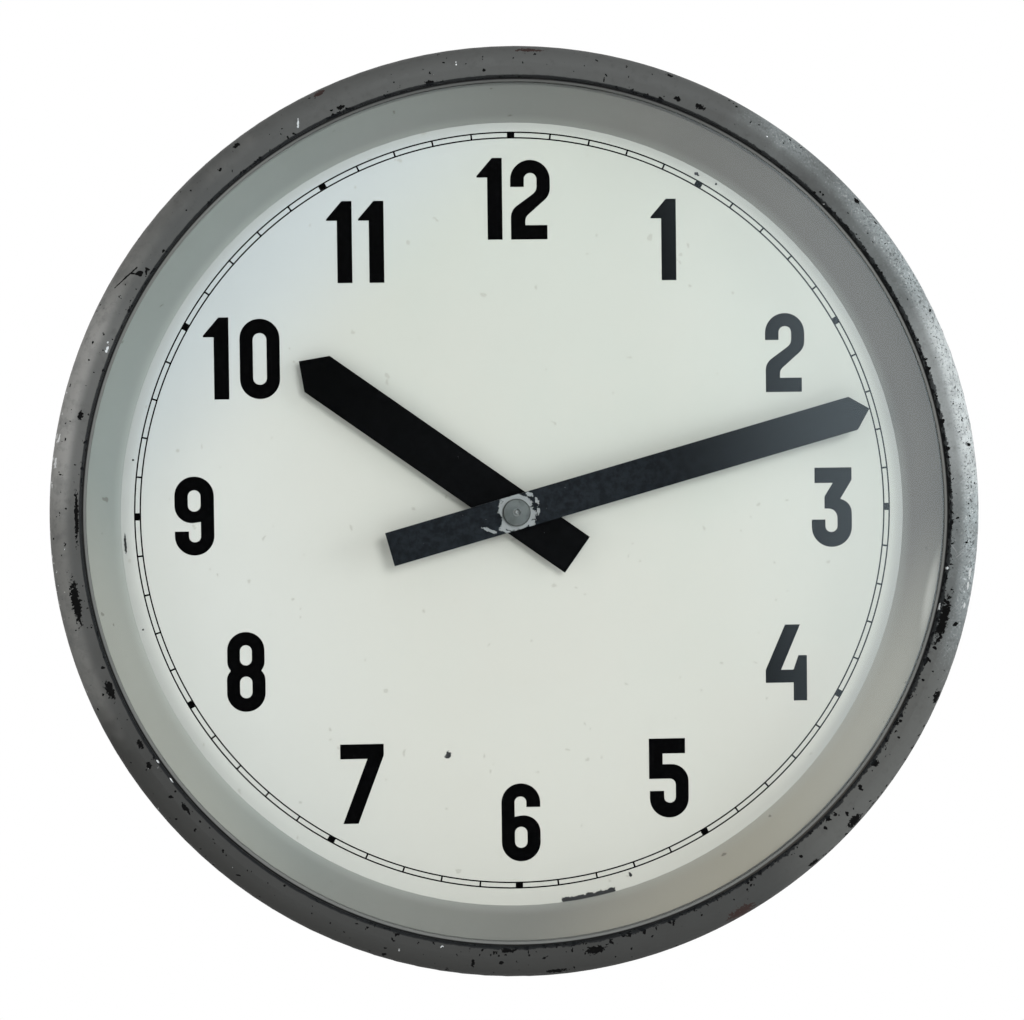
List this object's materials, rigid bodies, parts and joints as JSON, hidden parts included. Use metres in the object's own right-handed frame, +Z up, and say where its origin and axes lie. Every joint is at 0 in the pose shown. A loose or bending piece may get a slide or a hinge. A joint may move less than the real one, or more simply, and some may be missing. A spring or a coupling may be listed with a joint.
{
  "type": "factory wall clock",
  "caption": "Round factory wall clock: grey pressed case and bezel, glass, numbered dial, two bar hands and an impulse movement with ratchet, electromagnet and motion work.",
  "frame": {"origin": "on the wall plane, at the axis of the case and the hands", "axes": "+Y into the wall (the dial faces -Y), +Z up, +X to the right as seen from the front"},
  "size_m": [0.45, 0.0861, 0.45],
  "materials": {
    "case_paint": "satin grey paint, worn",
    "bezel_paint": "satin grey paint with chips along the inner edge",
    "reflector_paint": "semi-gloss grey paint",
    "dial_enamel": "satin off-white enamel",
    "hand_paint": "aluminium sheet with satin black paint",
    "glass": "clear flat glass",
    "gasket": "black rubber",
    "zinc_steel": "zinc plated steel",
    "arbor_steel": "turned steel",
    "spring_steel": "blued spring steel",
    "wheel_brass": "milled brass",
    "collet_brass": "turned brass under worn black paint",
    "magnet_iron": "soft iron, bare",
    "winding_copper": "enamelled copper wire",
    "phenolic": "dark moulded phenolic",
    "lead_cover": "insulated wire"
  },
  "bodies": {
    "case": {"case_shell": "case_paint", "bezel": "bezel_paint", "reflector_ring": "reflector_paint", "dial": "dial_enamel", "glass": "glass", "glass_gasket": "gasket", "cable_grommet": "gasket", "hanger_plate": "zinc_steel", "hanger_rivets": "zinc_steel", "bezel_screws": "zinc_steel", "bezel_nut_blocks": "zinc_steel", "dial_brackets": "zinc_steel", "dial_studs": "zinc_steel", "dial_nuts": "zinc_steel", "movement_standoffs": "zinc_steel", "pillar_screws": "zinc_steel", "yoke_screws": "zinc_steel", "terminal_fixing_screws": "zinc_steel", "motion_clip": "zinc_steel", "armature_arbor": "arbor_steel", "armature_stop": "arbor_steel", "spring_pin": "arbor_steel", "motion_stud": "arbor_steel", "backstop_stud": "arbor_steel", "movement_back_plate": "wheel_brass", "movement_front_plate": "wheel_brass", "movement_pillars": "wheel_brass", "rear_bush": "wheel_brass", "front_bush": "wheel_brass", "yoke_spacers": "wheel_brass", "terminal_screws": "wheel_brass", "magnet_yoke": "magnet_iron", "magnet_cores": "magnet_iron", "coil_windings": "winding_copper", "coil_bobbins": "phenolic", "terminal_block": "phenolic", "coil_leads": "lead_cover"},
    "minute": {"centre_arbor": "arbor_steel", "ratchet_wheel": "wheel_brass", "ratchet_hub": "wheel_brass", "cannon_pinion": "wheel_brass", "minute_hand": "hand_paint", "minute_hand_collet": "collet_brass"},
    "motion": {"motion_wheel": "wheel_brass", "motion_pinion": "wheel_brass"},
    "hour": {"hour_wheel": "wheel_brass", "hour_pipe": "wheel_brass", "hour_hand": "hand_paint", "hour_hand_collet": "collet_brass"},
    "armature": {"armature": "magnet_iron", "return_spring": "spring_steel", "spring_rivets": "arbor_steel", "drive_pawl_stud": "arbor_steel", "pawl_spring": "spring_steel"},
    "drive_pawl": {"drive_pawl": "spring_steel"},
    "backstop_pawl": {"backstop_pawl": "spring_steel"}
  },
  "joints": [
    {"name": "minute_hand_turn", "type": "hinge", "parent": "case", "child": "minute", "pos_m": [0, -0.03, 0], "axis": [0, 1, 0], "continuous": true},
    {"name": "motion_wheel_turn", "type": "hinge", "parent": "case", "child": "motion", "pos_m": [0.01379, -0.042, 0.01157], "axis": [0, 1, 0], "continuous": true},
    {"name": "hour_hand_turn", "type": "hinge", "parent": "case", "child": "hour", "pos_m": [0, -0.045, 0], "axis": [0, 1, 0], "continuous": true},
    {"name": "armature_rock", "type": "hinge", "parent": "case", "child": "armature", "pos_m": [0.037, -0.0262, -0.0302], "axis": [0, -1, 0], "range_deg": [0, 2.3], "stiffness_Nm_per_rad": 0.6, "springref_deg": -2.86, "deforming": ["return_spring"]},
    {"name": "drive_pawl_rock", "type": "hinge", "parent": "armature", "child": "drive_pawl", "pos_m": [-0.032, -0.028, -0.029], "axis": [0, -1, 0], "range_deg": [0, 6], "stiffness_Nm_per_rad": 0.02, "springref_deg": -3.44, "deforming": ["pawl_spring"]},
    {"name": "backstop_pawl_rock", "type": "hinge", "parent": "case", "child": "backstop_pawl", "pos_m": [-0.014, -0.028, 0.033], "axis": [0, -1, 0], "range_deg": [0, 6]}
  ],
  "couplings": [
    {"joint": "motion_wheel_turn", "follows": "minute_hand_turn", "ratio": -0.33333},
    {"joint": "hour_hand_turn", "follows": "minute_hand_turn", "ratio": 0.083333}
  ]
}
